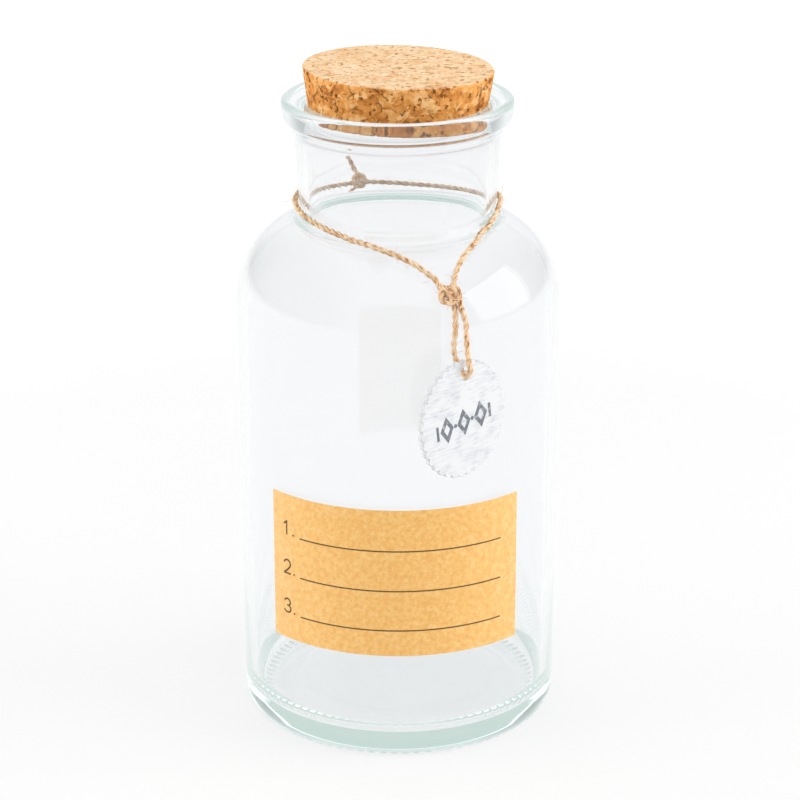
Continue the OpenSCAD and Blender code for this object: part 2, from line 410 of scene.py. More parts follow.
# Loose hairs of the jute, which stand off every length of the twine.
hair_tree, hair_ids, given = new_tree(
    "Loose hairs",
    [
        ("Twine", "NodeSocketGeometry"),
        ("Hairs per square metre", "NodeSocketFloat"),
        ("Length", "NodeSocketFloat"),
        ("Thickness", "NodeSocketFloat"),
        ("Finish", "NodeSocketMaterial"),
    ],
)
roots = add_node(
    hair_tree,
    "GeometryNodeDistributePointsOnFaces",
    {"Mesh": given["Twine"], "Density": given["Hairs per square metre"], "Seed": 7},
)
bend = add_node(
    hair_tree,
    "GeometryNodeCurveQuadraticBezier",
    {"Resolution": 4, "Start": (0, 0, 0), "Middle": (0.25, 0, 0.6), "End": (-0.15, 0.2, 1)},
)
thin = add_node(
    hair_tree,
    "GeometryNodeCurvePrimitiveCircle",
    {"Resolution": 3, "Radius": math_node(hair_tree, "DIVIDE", given["Thickness"], given["Length"])},
)
hair = add_node(
    hair_tree,
    "GeometryNodeCurveToMesh",
    {"Curve": bend.outputs[0], "Profile Curve": thin.outputs[0], "Fill Caps": True},
)
lean = add_node(
    hair_tree,
    "FunctionNodeRandomValue",
    {"Min": (0.5, 0, 0), "Max": (1.45, 0, 0), "Seed": 3},
    data_type="FLOAT_VECTOR",
)
swirl = add_node(
    hair_tree,
    "FunctionNodeRandomValue",
    {"Min": (0, 0, 0), "Max": (0, 0, 2 * math.pi), "Seed": 4},
    data_type="FLOAT_VECTOR",
)
size = add_node(
    hair_tree,
    "FunctionNodeRandomValue",
    {"Min": 0.35, "Max": 1.0, "Seed": 5},
    data_type="FLOAT",
)
planted = add_node(
    hair_tree,
    "GeometryNodeInstanceOnPoints",
    {
        "Points": roots.outputs["Points"],
        "Instance": hair.outputs[0],
        "Rotation": roots.outputs["Rotation"],
        "Scale": math_node(
            hair_tree,
            "MULTIPLY",
            next(s for s in size.outputs if s.type == "VALUE" and s.enabled),
            given["Length"],
        ),
    },
)
spun = add_node(
    hair_tree,
    "GeometryNodeRotateInstances",
    {"Instances": planted.outputs[0], "Rotation": swirl.outputs[0], "Local Space": True},
)
leant = add_node(
    hair_tree,
    "GeometryNodeRotateInstances",
    {"Instances": spun.outputs[0], "Rotation": lean.outputs[0], "Local Space": True},
)
end_tree(hair_tree, leant.outputs[0], given["Finish"])


def lay_twine(name, line):
    """Both plies of the twine along a line, and the hairs that stand off them."""
    plies = grow(
        name,
        path_mesh(name, line),
        lay_tree,
        lay_ids,
        {
            "Ply radius": ply_r * MM,
            "Ply offset": ply_off * MM,
            "Length of lay": lay_l * MM,
            "Unevenness": fuzz * MM,
            "Finish": jute,
        },
    )
    hairs = grow(
        name + "_hairs",
        plies.data,
        hair_tree,
        hair_ids,
        {
            "Hairs per square metre": 120000.0,
            "Length": 3.0 * MM,
            "Thickness": 0.045 * MM,
            "Finish": jute,
        },
    )
    return plies, hairs


# The tie round the neck: from the front knot up over the shoulder, round behind the neck, and
# back down to the knot. It lies on the glass in the hollow at the root of the neck.
neck_route = [
    (18.3, -14), (16.5, -10.6), (13.5, -8.8), (9.5, -6.8), (5, -5.5), (-1, -4.3), (-8, -3.4),
    (-16, -2.7), (-24, -2.2), (-32, -1.5), (-40, -0.9), (-50, -0.2), (-62, 0.7), (-76, 1.5),
    (-92, 1.9), (-108, 1.8), (-124, 1.5), (-140, 1.3), (-155, 1.5), (-170, 0.9), (-185, 0.3),
    (-200, 0), (-215, 0), (-230, 0.3), (-245, 0.9), (-258, 1.6), (-270, 2), (-281, 1),
    (-290, -0.6), (-300, -1.9), (-310, -2.7), (-320, -4.1), (-328, -5.8), (-333, -8),
    (-336, -10.4), (-338.2, -14),
]
neck_line = [
    on_glass(p.x, root_z + p.y, twine_off)
    for p in smooth_line([(a, z, 0) for a, z in neck_route], 4)
]
neck_twine, neck_hairs = lay_twine("neck_tie", neck_line)
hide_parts("neck_twine")
for piece in (neck_twine, neck_hairs):
    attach(piece, "jar")

# The front knot: one thumb knot in both ends. The twine goes across, turns back under itself
# at the left, and passes up and over the bundle at the right.
knot_at = 20
knot_pos = on_glass(knot_at, root_z - 14.5, 2.61 + 0.3)
front_knot_route = [
    (-0.2, -0.9, 3.2), (-0.7, 0.2, 2.0), (-0.9, 1.2, 0.9), (-0.4, 1.3, -0.1), (0.9, 0.6, -0.8),
    (1.9, -0.6, -0.9), (1.3, -1.5, 0.6), (-0.4, -1.3, 1.9), (-1.9, -0.2, 2.3), (-3.0, 0.6, 1.7),
    (-3.2, 0.9, 0.5), (-2.6, 1.1, -0.7), (-1.3, 1.3, -1.3), (0.2, 1.4, -1.1), (1.7, 1.2, -0.5),
    (2.4, 1.4, 0.8), (1.9, 1.6, 2.2), (1.4, 1.0, 2.9), (1.1, -0.3, 2.6), (1.5, -1.2, 1.0),
    (1.4, -1.3, -0.8),
]


def beside(place, degrees, x, out, z):
    """A point so far to the right, out from the glass and up from a place beside the glass."""
    return place + x * rightward(degrees) + out * outward(degrees) + Vector((0, 0, z))


front_knot, front_knot_hairs = lay_twine(
    "front_knot_turns",
    smooth_line([beside(knot_pos, knot_at, *p) for p in front_knot_route], 6),
)
crossing_route = [
    (-2.6, -1.2, 3.3), (-2.0, -0.2, 2.9), (-1.2, 0.9, 2.6), (0.3, 1.4, 2.2), (1.2, 0.6, 1.0),
    (0.2, -1.0, 0.2), (-1.3, -1.5, 0.2), (-2.4, -1.1, -0.3), (-2.0, 0.2, -1.0), (-0.8, 1.0, -0.8),
    (1.2, 0.4, -0.3), (2.6, 0.3, -0.3),
]
knot_core, knot_core_hairs = lay_twine(
    "front_knot_core",
    smooth_line([beside(knot_pos, knot_at, *p) for p in crossing_route], 6),
)
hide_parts("front_knot")
front_pieces = [front_knot, front_knot_hairs, knot_core, knot_core_hairs]
for piece in front_pieces:
    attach(piece, "jar")

# The knot behind the neck, where the two ends were tied and cut off. Both cut ends stand out.
back_at = -155
back_pos = on_glass(back_at, root_z + 1.5, 2.7 + 0.3)
back_route = [
    (-2.1, -0.7, 0.4), (-1.1, 0.2, 1.6), (0.1, 1.0, 2.3), (1.0, 1.2, 1.2), (1.0, 0.9, -0.6),
    (0.2, 0.2, -2.2), (-0.8, -0.8, -1.6), (-1.0, -1.2, 0.2), (-0.4, -0.9, 2.0), (0.8, 0.1, 2.6),
    (1.9, 0.8, 1.2), (1.8, 0.8, -0.6), (0.9, 0.2, -2.2), (0.1, -0.4, -2.4),
]
back_knot, back_knot_hairs = lay_twine(
    "back_knot_turns",
    smooth_line([beside(back_pos, back_at, *p) for p in back_route], 6),
)
upper_end_route = [(0.2, 0.2, 0.5), (0.9, 0.9, 2.9), (2.0, 1.5, 5.3), (2.9, 1.9, 7.6), (3.9, 2.1, 9.4)]
lower_end_route = [(0.6, 0.2, -1.2), (1.4, 1.0, -2.6), (2.1, 2.0, -4.2), (2.6, 2.8, -5.8)]
upper_end, upper_end_hairs = lay_twine(
    "upper_cut_end",
    smooth_line([beside(back_pos, back_at, *p) for p in upper_end_route], 6),
)
lower_end, lower_end_hairs = lay_twine(
    "lower_cut_end",
    smooth_line([beside(back_pos, back_at, *p) for p in lower_end_route], 6),
)
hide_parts("back_knot")
back_pieces = [back_knot, back_knot_hairs, upper_end, upper_end_hairs, lower_end, lower_end_hairs]
for piece in back_pieces:
    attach(piece, "jar")

# The hanging loop, which runs down from the front knot, through the tag from behind, and up
# again.
hole_pos = Vector((21.19, -50.9807, 128.079))
loop_route = [
    (0.963, 1.3, -1.5), (0.9, 1.1, -1.4), (0.855, 1, -0.9), (0.7, 0.3, 0.1), (0.53, -0.5, 0),
    (0.34, -1.5, -0.9), (0.17, -1.4, -1.7), (0.09, -0.7, -2.2), (0, -0.1, -2.1),
    (-0.04, 0.1, -1), (-0.05, 0.25, 0.3), (-0.01, 0.8, 1.6), (0.09, 1.2, 3.1),
    (0.17, 0.9, 3.6), (0.34, 1.4, 2.9), (0.53, 2.3, 1.9), (0.7, 3, 1), (0.855, 2.6, -0.1),
    (0.925, 2.7, -0.1), (0.986, 2.5, 0.2),
]
loop_line = smooth_line(
    [
        beside(hole_pos + share * (knot_pos - hole_pos), knot_at, right, out, 0)
        for share, right, out in loop_route
    ],
    6,
)
tag_loop, tag_loop_hairs = lay_twine("tag_loop_twine", loop_line)
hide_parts("tag_loop")
for piece in (tag_loop, tag_loop_hairs):
    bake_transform(piece)

# The jar: one piece of clear soda glass, blown in a mould, with a faint green tint. It has a
# pushed-up base, a stippled ring to stand on, and a fire-polished bead round the lip.
wall_t = 3.0
base_t = 6.0
push_up = 3.5
heel_h = 7.2
heel_in = 3.4
ring_w = 5.6
floor_r = 8.0
inner_root_r = 3.0
crown_z = 197.2
mouth_r = 27.9
stipples = 85
steps_round = 8 * stipples
stipple_h = 0.45

lip_points = [
    (31.55, 187.6), (31.7, 188.3), (32.05, 188.8), (32.1, 190.2), (32.3, 191.2), (33.0, 191.6),
    (33.8, 191.75), (34.5, 192.2), (34.95, 193.2), (35.3, 194.6), (35.5, 196.2), (35.5, 197.2),
    (35.3, 197.95), (34.8, 198.45), (33.9, 198.75), (32.6, 198.5), (30.6, 197.9), (29.2, 197.5),
    (27.9, 197.2),
]
ring_r = body_r - heel_in
ring_inner_r = ring_r - ring_w
inner_fillet_c = neck_r - wall_t + inner_root_r
inner_shoulder_r = shoulder_r - wall_t
inner_root_z = shoulder_z + math.sqrt(
    (inner_shoulder_r + inner_root_r) ** 2 - (inner_fillet_c - shoulder_c) ** 2
)
inner_root_angle = math.atan2(inner_root_z - shoulder_z, inner_fillet_c - shoulder_c)
floor_edge_r = body_r - wall_t - floor_r


def arc(r_at, z_at, r, start, stop, steps):
    """Points of an arc in the half profile."""
    made = []
    for i in range(steps + 1):
        a = start + (stop - start) * i / steps
        made.append((r_at + r * math.cos(a), z_at + r * math.sin(a)))
    return made


def straight(start, stop, steps):
    """Points between two others, both left out."""
    return [
        tuple(a + (b - a) * i / steps for a, b in zip(start, stop)) for i in range(1, steps)
    ]


quarter = math.pi / 2
outside = [(ring_inner_r + (ring_r - ring_inner_r) * i / 5, 0) for i in range(5)]
outside += [
    (ring_r + heel_in * math.sin(quarter * i / 10), heel_h * (1 - math.cos(quarter * i / 10)))
    for i in range(11)
]
outside += straight((body_r, heel_h), (body_r, shoulder_z), 4)
outside += arc(shoulder_c, shoulder_z, shoulder_r, 0, root_angle, 18)
outside += arc(fillet_c, root_z, root_r, math.pi + root_angle, math.pi, 7)
lip = [(p.x, p.y) for p in smooth_line([(r, z, 0) for r, z in lip_points], 2)]
inside = straight((mouth_r, crown_z), (neck_r - wall_t, inner_root_z), 4)
inside += arc(
    inner_fillet_c, inner_root_z, inner_root_r, math.pi, math.pi + inner_root_angle, 6
)
inside += arc(shoulder_c, shoulder_z, inner_shoulder_r, inner_root_angle, 0, 16)
inside += straight((body_r - wall_t, shoulder_z), (body_r - wall_t, base_t + floor_r), 4)
inside += arc(floor_edge_r, base_t + floor_r, floor_r, 0, -quarter, 9)
inside += [(36.0, base_t), (33.0, base_t + 0.05), (31.0, base_t + 0.35), (30.0, base_t + 0.8)]
inside += [
    (30 * (1 - i / 7), base_t + 0.8 + (push_up - 0.8) * (1 - (1 - i / 7) ** 2))
    for i in range(1, 8)
]
underside = [(ring_inner_r * i / 6, push_up * (1 - (i / 6) ** 2)) for i in range(6)]


def turned_piece(profile, steps, shape=None):
    """Points and faces of a profile turned about the upright axis, closed into a ring. Where
    the profile meets the axis it has one point there."""
    points = []
    rows = []
    for r, z in profile:
        if r < 1e-9:
            rows.append([len(points)])
            points.append(Vector((0, 0, z)))
            continue
        rows.append(list(range(len(points), len(points) + steps)))
        for k in range(steps):
            a = 2 * math.pi * k / steps
            rr, zz = shape(r, z, a) if shape else (r, z)
            points.append(Vector((rr * math.sin(a), -rr * math.cos(a), zz)))
    faces = []
    for low, high in zip(rows, rows[1:] + rows[:1]):
        if len(low) == 1 and len(high) == 1:
            continue
        for k in range(steps):
            j = (k + 1) % steps
            if len(low) == 1:
                faces.append((low[0], high[j], high[k]))
            elif len(high) == 1:
                faces.append((low[k], low[j], high[0]))
            else:
                faces.append((low[k], low[j], high[j], high[k]))
    return points, faces


def stippled(r, z, a):
    """The ring that the jar stands on is cut into small rounded bumps round its outer edge."""
    if z > 1.2 or r < ring_inner_r + 0.3 * ring_w or z > 0.9 * heel_h:
        return r, z
    edge = min(1.0, (r - ring_inner_r - 0.3 * ring_w) / (0.4 * ring_w))
    gap = 0.5 - 0.5 * math.cos(stipples * a)
    return r, z + stipple_h * edge * gap**2 * max(0.0, 1 - z / 1.2)


glass, tree = new_material("green_tinted_glass")
rays = add_node(tree, "ShaderNodeLightPath").outputs
# Where a ray has been reflected inside the glass more than three times, the glass glows a pale grey-green: a
# painted glow in place of the light those rays would bring.
deep_ray_painted_glow = math_node(tree, "GREATER_THAN", rays["Glossy Depth"], 3.5)
clear = add_node(
    tree,
    "ShaderNodeBsdfPrincipled",
    {
        "Base Color": (0.955, 0.957, 0.966, 1),
        "Roughness": 0.0,
        "IOR": 1.5,
        "Transmission Weight": 1.0,
        "Emission Color": (0.4, 0.43, 0.42, 1),
        "Emission Strength": deep_ray_painted_glow,
    },
)
passes = add_node(tree, "ShaderNodeBsdfTransparent", {"Color": (0.97, 0.985, 0.98, 1)})
mixed = add_node(
    tree,
    "ShaderNodeMixShader",
    {0: rays["Is Shadow Ray"], 1: clear.outputs[0], 2: passes.outputs[0]},
)
tint = add_node(
    tree, "ShaderNodeVolumeAbsorption", {"Color": (0.42, 0.66, 0.58, 1), "Density": 6.0}
)
out = add_node(tree, "ShaderNodeOutputMaterial")
tree.links.new(mixed.outputs[0], out.inputs["Surface"])
tree.links.new(tint.outputs[0], out.inputs["Volume"])

points, faces = turned_piece(outside + lip + inside + underside, steps_round, stippled)
jar = mesh_object("jar_glass", [p * MM for p in points], faces, glass)
jar.data.set_sharp_from_angle(angle=math.radians(40))
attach(jar, "jar")
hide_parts("glass_jar")

# The cork: a tapered plug of pressed cork granules, sanded flat on top. The granules differ
# in tone and have seams and small open pits between them. Its upward face is coloured paler
# and its sides darker: partly the sanded finish, and partly painted light, a painted highlight
# on the top and painted shade down the sides.
cork_seat_r = mouth_r - 0.3
cork_top_z = 207.9
cork_bottom_z = 193.8
cork_edge = 0.8
cork_taper = math.radians(7.8)
cork_tilt = math.radians(1.8)
granule = 4.2


def cork_r(z):
    return cork_seat_r + math.tan(cork_taper) * (z - crown_z)


bottom_r = cork_r(cork_bottom_z) - cork_edge
top_r = cork_r(cork_top_z) - cork_edge
cork_profile = [(bottom_r * i / 24, cork_bottom_z) for i in range(24)]
cork_profile += arc(bottom_r, cork_bottom_z + cork_edge, cork_edge, -quarter, -cork_taper, 4)
cork_profile += straight(
    (bottom_r + cork_edge, cork_bottom_z + cork_edge), (top_r + cork_edge, cork_top_z - cork_edge), 40
)
cork_profile += arc(top_r, cork_top_z - cork_edge, cork_edge, -cork_taper, quarter, 5)
cork_profile += [(top_r * (1 - i / 72), cork_top_z) for i in range(1, 73)]
points, faces = turned_piece(cork_profile, 400)
lean_matrix = (
    Matrix.Translation((0, 0, crown_z))
    @ Matrix.Rotation(cork_tilt, 4, "Y")
    @ Matrix.Translation((0, 0, -crown_z))
)
cork_start = bpy.data.meshes.new("cork")
cork_start.from_pydata([tuple(lean_matrix @ p * MM) for p in points], [], faces)
cork_start.shade_smooth()


def granule_nodes(tree, place):
    """Where a point lies among the granules: its granule's tone, how far off the seam it is,
    and a slower pattern that says which seams are open. Shape and colour both use it."""
    bent = add_node(tree, "ShaderNodeTexNoise", {"Vector": place, "Scale": 190.0, "Detail": 2.0})
    push = add_node(
        tree,
        "ShaderNodeVectorMath",
        {0: bent.outputs["Color"], 1: (0.5, 0.5, 0.5)},
        operation="SUBTRACT",
    )
    far = add_node(
        tree,
        "ShaderNodeVectorMath",
        {0: push.outputs[0], 1: (0.0032, 0.0032, 0.0032), 2: place},
        operation="MULTIPLY_ADD",
    )
    squeezed = add_node(
        tree,
        "ShaderNodeVectorMath",
        {0: far.outputs[0], 1: (1.0, 1.0, 1.35)},
        operation="MULTIPLY",
    )
    cells = {}
    for feature in ("F1", "DISTANCE_TO_EDGE"):
        cells[feature] = add_node(
            tree,
            "ShaderNodeTexVoronoi",
            {"Vector": squeezed.outputs[0], "Scale": 1 / (granule * MM), "Randomness": 1.0},
            feature=feature,
        )
    split = add_node(tree, "ShaderNodeSeparateXYZ", {0: cells["F1"].outputs["Color"]})
    wander = add_node(tree, "ShaderNodeTexNoise", {"Vector": place, "Scale": 260.0, "Detail": 3.0})
    return (
        split.outputs[0],
        split.outputs[1],
        cells["DISTANCE_TO_EDGE"].outputs["Distance"],
        wander.outputs["Fac"],
    )


def map_node(tree, value, from_min, from_max, to_min, to_max):
    return add_node(
        tree,
        "ShaderNodeMapRange",
        {
            "Value": value,
            "From Min": from_min,
            "From Max": from_max,
            "To Min": to_min,
            "To Max": to_max,
        },
    ).outputs[0]


def mix_node(tree, factor, first, second):
    """One colour mixed over another."""
    made = add_node(
        tree,
        "ShaderNodeMix",
        {"Factor": factor, 6: first, 7: second},
        data_type="RGBA",
    )
    return made.outputs[2]


cork_tree, cork_ids, given = new_tree(
    "Pressed granules",
    [
        ("Plug", "NodeSocketGeometry"),
        ("Seam depth", "NodeSocketFloat"),
        ("Pit depth", "NodeSocketFloat"),
        ("Finish", "NodeSocketMaterial"),
    ],
)
here = add_node(cork_tree, "GeometryNodeInputPosition").outputs[0]
tone, step_up, edge, wander = granule_nodes(cork_tree, here)
seam = map_node(cork_tree, edge, 0.0, 0.09, 1.0, 0.0)
open_seam = map_node(cork_tree, wander, 0.5, 0.62, 0.0, 1.0)
pit = map_node(cork_tree, wander, 0.6, 0.68, 0.0, 1.0)
depth = math_node(
    cork_tree,
    "ADD",
    math_node(
        cork_tree,
        "MULTIPLY",
        math_node(cork_tree, "MULTIPLY", seam, open_seam),
        given["Seam depth"],
    ),
    math_node(
        cork_tree, "MULTIPLY", math_node(cork_tree, "MULTIPLY", seam, pit), given["Pit depth"]
    ),
)
raised = math_node(
    cork_tree,
    "SUBTRACT",
    math_node(cork_tree, "MULTIPLY", math_node(cork_tree, "SUBTRACT", step_up, 0.6), 0.00009),
    depth,
)
cork_push = add_node(
    cork_tree,
    "ShaderNodeVectorMath",
    {"Vector": add_node(cork_tree, "GeometryNodeInputNormal").outputs[0], "Scale": raised},
    operation="SCALE",
)
pressed = add_node(
    cork_tree,
    "GeometryNodeSetPosition",
    {"Geometry": given["Plug"], "Offset": cork_push.outputs[0]},
)
# Upward-facing points are marked for the paler top colour: partly the sanded finish, partly a painted highlight on
# the top.
upright = add_node(
    cork_tree, "ShaderNodeSeparateXYZ", {0: add_node(cork_tree, "GeometryNodeInputNormal").outputs[0]}
)
face_marked = add_node(
    cork_tree,
    "GeometryNodeStoreNamedAttribute",
    {
        "Geometry": given["Plug"],
        "Name": "sanded_lit_top",
        "Value": map_node(cork_tree, upright.outputs[2], 0.6, 0.9, 0.0, 1.0),
    },
    domain="POINT",
    data_type="FLOAT",
)
cork_tree.links.new(face_marked.outputs[0], pressed.inputs[0])
end_tree(cork_tree, pressed.outputs[0], given["Finish"])

cork_skin, tree = new_material("pressed_cork")
place = add_node(tree, "ShaderNodeTexCoord").outputs["Object"]
tone, step_up, edge, wander = granule_nodes(tree, place)
fine = add_node(
    tree,
    "ShaderNodeTexVoronoi",
    {"Vector": place, "Scale": 1 / (0.42 * granule * MM), "Randomness": 1.0},
    feature="F1",
)
fine_tone = add_node(tree, "ShaderNodeSeparateXYZ", {0: fine.outputs["Color"]}).outputs[0]
grain = add_node(
    tree, "ShaderNodeTexNoise", {"Vector": place, "Scale": 700.0, "Detail": 5.0, "Roughness": 0.7}
)
mixed_tone = math_node(
    tree,
    "ADD",
    math_node(tree, "MULTIPLY", tone, 0.34),
    math_node(
        tree,
        "ADD",
        math_node(tree, "MULTIPLY", fine_tone, 0.36),
        math_node(tree, "MULTIPLY", map_node(tree, grain.outputs["Fac"], 0.3, 0.7, 0.0, 1.0), 0.3),
    ),
)
# Two copies of the cork colour: a darker one for the sides, which carries painted shade, and a paler one for the
# top, which carries the sanded finish and a painted highlight.
moulded_shaded_side = ramp_node(
    tree,
    mixed_tone,
    [
        (0.14, srgb(146, 84, 34)),
        (0.32, srgb(208, 132, 60)),
        (0.55, srgb(238, 164, 84)),
        (0.82, srgb(253, 204, 140)),
    ],
)
sanded_lit_top = ramp_node(
    tree,
    mixed_tone,
    [
        (0.14, srgb(232, 178, 124)),
        (0.35, srgb(245, 203, 154)),
        (0.6, srgb(250, 215, 172)),
        (0.85, srgb(253, 227, 194)),
    ],
)
# The top share mixes the two copies, and the flecks and open seams follow it: paler on top and darker on the sides,
# partly painted light.
sanded_lit_top_share = add_node(tree, "ShaderNodeAttribute", attribute_name="sanded_lit_top").outputs["Fac"]
flesh = mix_node(tree, sanded_lit_top_share, moulded_shaded_side, sanded_lit_top)
flecks = add_node(
    tree, "ShaderNodeTexNoise", {"Vector": place, "Scale": 620.0, "Detail": 2.0, "Roughness": 0.5}
)
fleck = map_node(tree, flecks.outputs["Fac"], 0.59, 0.64, 0.0, 0.85)
flecked = mix_node(tree, fleck, flesh, mix_node(tree, sanded_lit_top_share, (*srgb(112, 62, 24), 1), (*srgb(200, 130, 66), 1)))
seam = map_node(tree, edge, 0.0, 0.06, 1.0, 0.0)
open_seam = map_node(tree, wander, 0.51, 0.62, 0.0, 0.95)
cracked = math_node(tree, "MULTIPLY", seam, open_seam)
crack_share = math_node(
    tree, "MULTIPLY", cracked, math_node(tree, "SUBTRACT", 1.0, math_node(tree, "MULTIPLY", sanded_lit_top_share, 0.55))
)
dark = mix_node(tree, crack_share, flecked, (*srgb(84, 44, 18), 1))
cork_bump = add_node(
    tree,
    "ShaderNodeBump",
    {"Height": grain.outputs["Fac"], "Strength": 0.5, "Distance": 0.0004},
)
shader = add_node(
    tree,
    "ShaderNodeBsdfPrincipled",
    {
        "Base Color": dark,
        "Roughness": 0.82,
        "Specular IOR Level": 0.3,
        "Normal": cork_bump.outputs[0],
    },
)
finish_material(tree, shader)
cork = grow(
    "cork",
    cork_start,
    cork_tree,
    cork_ids,
    {"Seam depth": 0.22 * MM, "Pit depth": 0.5 * MM, "Finish": cork_skin},
)
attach(cork, "stopper")
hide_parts("cork_stopper")

# The label: a sheet of brown kraft paper glued onto the front, printed with three numbered
# lines to write on.
label_r = body_r + 0.05
label_t = 0.25
label_w = 83.7
label_h = 48.2
label_z = 35.3
label_half = label_w / 2 / label_r

kraft, tree = new_material("kraft_paper")
place = add_node(tree, "ShaderNodeTexCoord").outputs["Object"]
pulp = add_node(
    tree, "ShaderNodeTexNoise", {"Vector": place, "Scale": 1500.0, "Detail": 3.0, "Roughness": 0.7}
)
clouds = add_node(tree, "ShaderNodeTexNoise", {"Vector": place, "Scale": 640.0, "Detail": 4.0})
blend_tone = math_node(
    tree,
    "ADD",
    math_node(tree, "MULTIPLY", pulp.outputs["Fac"], 0.45),
    math_node(tree, "MULTIPLY", clouds.outputs["Fac"], 0.55),
)
paper_colour = ramp_node(
    tree,
    blend_tone,
    [(0.38, srgb(240, 172, 66)), (0.5, srgb(249, 188, 88)), (0.62, srgb(252, 203, 118))],
)
paper_bump = add_node(
    tree,
    "ShaderNodeBump",
    {"Height": pulp.outputs["Fac"], "Strength": 0.25, "Distance": 0.0001},
)
shader = add_node(
    tree,
    "ShaderNodeBsdfPrincipled",
    {
        "Base Color": paper_colour,
        "Roughness": 0.5,
        "Specular IOR Level": 1.0,
        "Sheen Weight": 1.0,
        "Sheen Roughness": 0.5,
        "Sheen Tint": (1.0, 0.95, 0.88, 1),
        "Normal": paper_bump.outputs[0],
    },
)
finish_material(tree, shader)

columns = 96
rows_up = 12
points = []
for r in (label_r, label_r + label_t):
    for i in range(rows_up + 1):
        for k in range(columns + 1):
            a = -label_half + 2 * label_half * k / columns
            z = label_z + label_h * i / rows_up
            points.append(Vector((r * math.sin(a), -r * math.cos(a), z)) * MM)
sheet_size = (rows_up + 1) * (columns + 1)
faces = []
for side in (0, 1):
    for i in range(rows_up):
        for k in range(columns):
            a = side * sheet_size + i * (columns + 1) + k
            quad = (a, a + 1, a + columns + 2, a + columns + 1)
            faces.append(quad if side else quad[::-1])
rim = [(0, k) for k in range(columns)] + [(i, columns) for i in range(rows_up)]
rim += [(rows_up, k) for k in range(columns, 0, -1)] + [(i, 0) for i in range(rows_up, 0, -1)]
rim = [i * (columns + 1) + k for i, k in rim]
for a, b in zip(rim, rim[1:] + rim[:1]):
    faces.append((a, b, b + sheet_size, a + sheet_size))
label = mesh_object("kraft_label", points, faces, kraft)
label.data.set_sharp_from_angle(angle=math.radians(40))
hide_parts("paper_label")

ink, tree = new_material("printed_ink")
shader = add_node(
    tree,
    "ShaderNodeBsdfPrincipled",
    {"Base Color": (*srgb(100, 78, 52), 1), "Roughness": 0.6, "Specular IOR Level": 0.3},
)
finish_material(tree, shader)
ink_t = 0.02
ink_r = label_r + label_t + 0.015
print_rows = (70.1, 56.95, 43.8)
line_w = 0.42


def printed(name, flat_points, flat_faces):
    """Flat print rolled round the jar: x runs along the paper and y is the height."""
    points = []
    for r in (ink_r, ink_r + ink_t):
        for x, y in flat_points:
            a = x / ink_r
            points.append(Vector((r * math.sin(a), -r * math.cos(a), y)) * MM)
    count = len(flat_points)
    mesh = bpy.data.meshes.new(name)
    made = bmesh.new()
    verts = [made.verts.new(p) for p in points]
    edges = {}
    for face in flat_faces:
        made.faces.new([verts[i + count] for i in face])
        made.faces.new([verts[i] for i in reversed(face)])
        for a, b in zip(face, face[1:] + face[:1]):
            edges[(a, b)] = edges.get((b, a), 0)
            if (b, a) in edges:
                edges[(b, a)] = edges[(a, b)] = 1
            else:
                edges[(a, b)] = 0
    for (a, b), shared in edges.items():
        if not shared:
            made.faces.new([verts[a], verts[b], verts[b + count], verts[a + count]])
    made.to_mesh(mesh)
    made.free()
    mesh.materials.append(ink)
    made = bpy.data.objects.new(name, mesh)
    scene.collection.objects.link(made)
    return made


def ribbon(points, width):
    """A flat stroke of one width along a line of points, with square ends."""
    points = [Vector(p) for p in points]
    flat = []
    for i, p in enumerate(points):
        ahead = points[min(i + 1, len(points) - 1)] - points[max(i - 1, 0)]
        side = Vector((-ahead.y, ahead.x)).normalized() * (width / 2)
        flat += [tuple(p - side), tuple(p + side)]
    faces = [(2 * i, 2 * i + 2, 2 * i + 3, 2 * i + 1) for i in range(len(points) - 1)]
    return flat, faces


def bow(x, y, rx, ry, start, stop, steps=14):
    """Points of part of an ellipse, from one angle to another in degrees."""
    turns = [math.radians(start + (stop - start) * i / steps) for i in range(steps + 1)]
    return [(x + rx * math.cos(a), y + ry * math.sin(a)) for a in turns]


def joined(strokes):
    """Several flat strokes as one."""
    flat, faces = [], []
    for points, quads in strokes:
        faces += [tuple(len(flat) + i for i in quad) for quad in quads]
        flat += points
    return flat, faces


# The three figures, as strokes from their lower left corner.
figure_strokes = [
    [[(1.75, 0), (1.75, 4.75)], [(1.8, 4.6), (1.3, 4.0), (0.45, 3.45)]],
    [
        bow(1.62, 3.35, 1.35, 1.35, 165, -25)
        + [(2.55, 2.3), (1.6, 1.3), (0.75, 0.65), (0.3, 0.22)],
        [(0.12, 0.22), (3.1, 0.22)],
    ],
    [
        bow(1.55, 3.55, 1.2, 1.15, 160, -70) + [(1.3, 2.48)],
        [(1.3, 2.48)] + bow(1.55, 1.35, 1.4, 1.2, 72, -165),
    ],
]
figure_x = (-37.8, -37.7, -37.8)
figure_w = 0.55
dot_x = 4.45


prints = []
for count, row_z in enumerate(print_rows, 1):
    strokes = [ribbon(points, figure_w) for points in figure_strokes[count - 1]]
    strokes.append(ribbon([(dot_x, 0), (dot_x, 0.6)], 0.6))
    flat, faces = joined(strokes)
    flat = [(x + figure_x[count - 1], y + row_z + 0.1) for x, y in flat]
    prints.append(printed(f"printed_number_{count}", flat, faces))
    line_from, line_to, parts = -30.85, 35.35, 60
    flat, faces = ribbon(
        [(line_from + (line_to - line_from) * i / parts, row_z) for i in range(parts + 1)], line_w
    )
    prints.append(printed(f"printed_line_{count}", flat, faces))
for piece in [label] + prints:
    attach(piece, "jar")

